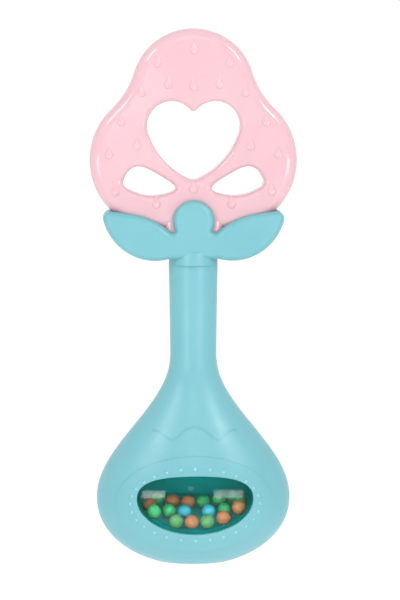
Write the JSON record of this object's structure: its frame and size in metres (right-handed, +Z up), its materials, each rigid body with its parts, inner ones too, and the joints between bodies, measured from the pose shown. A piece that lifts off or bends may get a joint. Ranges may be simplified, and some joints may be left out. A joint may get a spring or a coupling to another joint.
{
  "type": "baby rattle",
  "caption": "Hand-held baby rattle: pink teething plate with heart and leaf-shaped openings, turquoise leaf collar and pear-shaped handle, teal window over loose coloured beads.",
  "frame": {"origin": "under the middle of the bulb's foot, on the axis of the handle", "axes": "+Z up along the handle towards the teething plate, +X to the right seen from the front, -Y towards the viewer, so the window faces -Y"},
  "size_m": [0.0638, 0.0348, 0.1648],
  "materials": {
    "pink_teether": "glossy, slightly translucent pale pink",
    "turquoise_body": "satin turquoise",
    "teal_window": "clear teal plastic, glossy",
    "teal_cup": "dark teal, glossy",
    "bead_green": "glossy green",
    "bead_light_green": "glossy light green",
    "bead_orange": "glossy orange",
    "bead_blue": "glossy blue"
  },
  "bodies": {
    "body": {"teether_head": "pink_teether", "collar_front": "turquoise_body", "collar_rear": "turquoise_body", "handle_front_shell": "turquoise_body", "handle_rear_shell": "turquoise_body", "window_lens": "teal_window", "bead_cup": "teal_cup"},
    "bead_01_ball": {"bead_01": "bead_green"},
    "bead_02_ball": {"bead_02": "bead_light_green"},
    "bead_03_ball": {"bead_03": "bead_orange"},
    "bead_04_ball": {"bead_04": "bead_light_green"},
    "bead_05_ball": {"bead_05": "bead_orange"},
    "bead_06_ball": {"bead_06": "bead_orange"},
    "bead_07_ball": {"bead_07": "bead_orange"},
    "bead_08_ball": {"bead_08": "bead_green"},
    "bead_09_ball": {"bead_09": "bead_blue"},
    "bead_10_ball": {"bead_10": "bead_blue"},
    "bead_11_ball": {"bead_11": "bead_green"},
    "bead_12_ball": {"bead_12": "bead_green"},
    "bead_13_ball": {"bead_13": "bead_green"},
    "bead_14_ball": {"bead_14": "bead_orange"},
    "bead_15_ball": {"bead_15": "bead_orange"},
    "bead_16_ball": {"bead_16": "bead_green"},
    "bead_17_ball": {"bead_17": "bead_green"},
    "bead_18_ball": {"bead_18": "bead_green"}
  },
  "joints": [
    {"name": "bead_01_rise", "type": "slide", "parent": "body", "child": "bead_01_ball", "axis": [0, 0, 1], "range_m": [0, 0.0067]},
    {"name": "bead_02_rise", "type": "slide", "parent": "body", "child": "bead_02_ball", "axis": [0, 0, 1], "range_m": [0, 0.0114]},
    {"name": "bead_03_rise", "type": "slide", "parent": "body", "child": "bead_03_ball", "axis": [0, 0, 1], "range_m": [0, 0.0119]},
    {"name": "bead_04_rise", "type": "slide", "parent": "body", "child": "bead_04_ball", "axis": [0, 0, 1], "range_m": [0, 0.0117]},
    {"name": "bead_05_rise", "type": "slide", "parent": "body", "child": "bead_05_ball", "axis": [0, 0, 1], "range_m": [0, 0.0098]},
    {"name": "bead_06_rise", "type": "slide", "parent": "body", "child": "bead_06_ball", "axis": [0, 0, 1], "range_m": [0, 0.0049]},
    {"name": "bead_07_rise", "type": "slide", "parent": "body", "child": "bead_07_ball", "axis": [0, 0, 1], "range_m": [0, 0.0046]},
    {"name": "bead_08_rise", "type": "slide", "parent": "body", "child": "bead_08_ball", "axis": [0, 0, 1], "range_m": [0, 0.0085]},
    {"name": "bead_09_rise", "type": "slide", "parent": "body", "child": "bead_09_ball", "axis": [0, 0, 1], "range_m": [0, 0.0094]},
    {"name": "bead_10_rise", "type": "slide", "parent": "body", "child": "bead_10_ball", "axis": [0, 0, 1], "range_m": [0, 0.0092]},
    {"name": "bead_11_rise", "type": "slide", "parent": "body", "child": "bead_11_ball", "axis": [0, 0, 1], "range_m": [0, 0.0079]},
    {"name": "bead_12_rise", "type": "slide", "parent": "body", "child": "bead_12_ball", "axis": [0, 0, 1], "range_m": [0, 0.0037]},
    {"name": "bead_13_rise", "type": "slide", "parent": "body", "child": "bead_13_ball", "axis": [0, 0, 1], "range_m": [0, 0.0047]},
    {"name": "bead_14_rise", "type": "slide", "parent": "body", "child": "bead_14_ball", "axis": [0, 0, 1], "range_m": [0, 0.0065]},
    {"name": "bead_15_rise", "type": "slide", "parent": "body", "child": "bead_15_ball", "axis": [0, 0, 1], "range_m": [0, 0.0072]},
    {"name": "bead_16_rise", "type": "slide", "parent": "body", "child": "bead_16_ball", "axis": [0, 0, 1], "range_m": [0, 0.0071]},
    {"name": "bead_17_rise", "type": "slide", "parent": "body", "child": "bead_17_ball", "axis": [0, 0, 1], "range_m": [0, 0.0061]},
    {"name": "bead_18_rise", "type": "slide", "parent": "body", "child": "bead_18_ball", "axis": [0, 0, 1], "range_m": [0, 0.0039]}
  ]
}
